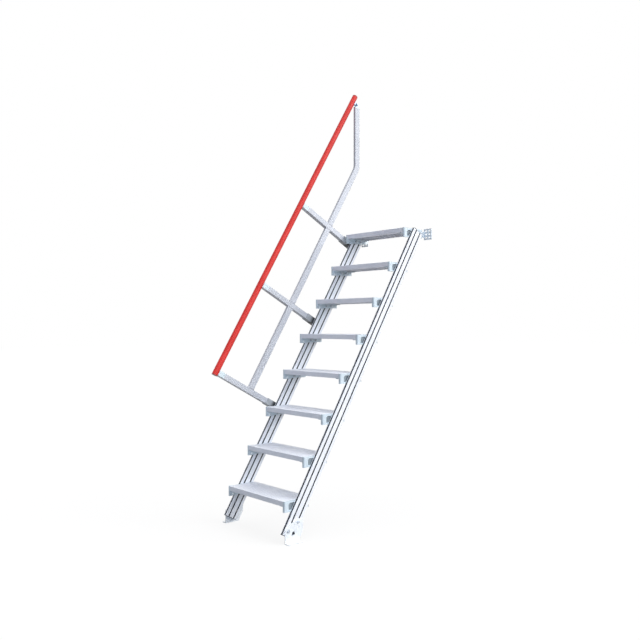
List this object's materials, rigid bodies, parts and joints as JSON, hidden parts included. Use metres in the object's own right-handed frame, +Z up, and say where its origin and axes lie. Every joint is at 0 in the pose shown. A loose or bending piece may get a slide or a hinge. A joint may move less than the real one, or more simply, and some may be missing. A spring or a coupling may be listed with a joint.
{
  "type": "fixed industrial stair",
  "caption": "Steep fixed aluminium stair with ribbed treads on cast brackets, slotted stringers, floor feet, top fixing plates, and a red handrail with knee rail on the left.",
  "frame": {"origin": "middle of the underside of the right foot's flange, at floor level", "axes": "+X to the climber's right, +Y forward into the climb, +Z up"},
  "size_m": [0.7613, 1.322, 3.1055],
  "materials": {
    "stringer_aluminium": "plain extruded, satin",
    "tread_aluminium": "ribbed extrusion, satin",
    "bracket_casting": "cast, lightly blasted",
    "foot_plate": "bent sheet, satin",
    "top_plate": "bent sheet, satin",
    "handrail_red": "red powder coat, semi-gloss",
    "cap_red": "dark red moulded plastic",
    "tube_aluminium": "drawn tube, satin",
    "clamp_casting": "cast, dark grey",
    "cap_grey": "moulded grey plastic",
    "fitting_metal": "machined, satin"
  },
  "bodies": {
    "root": {"stringer_left": "stringer_aluminium", "stringer_right": "stringer_aluminium", "stringer_caps_left": "cap_grey", "stringer_caps_right": "cap_grey", "tread_1": "tread_aluminium", "tread_2": "tread_aluminium", "tread_3": "tread_aluminium", "tread_4": "tread_aluminium", "tread_5": "tread_aluminium", "tread_6": "tread_aluminium", "tread_7": "tread_aluminium", "tread_8": "tread_aluminium", "tread_bracket_left_1": "bracket_casting", "tread_bracket_left_2": "bracket_casting", "tread_bracket_left_3": "bracket_casting", "tread_bracket_left_4": "bracket_casting", "tread_bracket_left_5": "bracket_casting", "tread_bracket_left_6": "bracket_casting", "tread_bracket_left_7": "bracket_casting", "tread_bracket_left_8": "bracket_casting", "tread_bracket_right_1": "bracket_casting", "tread_bracket_right_2": "bracket_casting", "tread_bracket_right_3": "bracket_casting", "tread_bracket_right_4": "bracket_casting", "tread_bracket_right_5": "bracket_casting", "tread_bracket_right_6": "bracket_casting", "tread_bracket_right_7": "bracket_casting", "tread_bracket_right_8": "bracket_casting", "foot_left": "foot_plate", "foot_right": "foot_plate", "top_plate_left": "top_plate", "top_plate_right": "top_plate", "handrail": "handrail_red", "handrail_caps": "cap_red", "rail_post_lower": "tube_aluminium", "rail_post_middle": "tube_aluminium", "rail_post_upper": "tube_aluminium", "post_clamp_lower": "clamp_casting", "post_clamp_middle": "clamp_casting", "post_clamp_upper": "clamp_casting", "rail_saddles": "bracket_casting", "knee_rail_lower": "tube_aluminium", "knee_rail_middle": "tube_aluminium", "knee_rail_upper": "tube_aluminium", "handrail_fitting": "fitting_metal"}
  },
  "joints": []
}
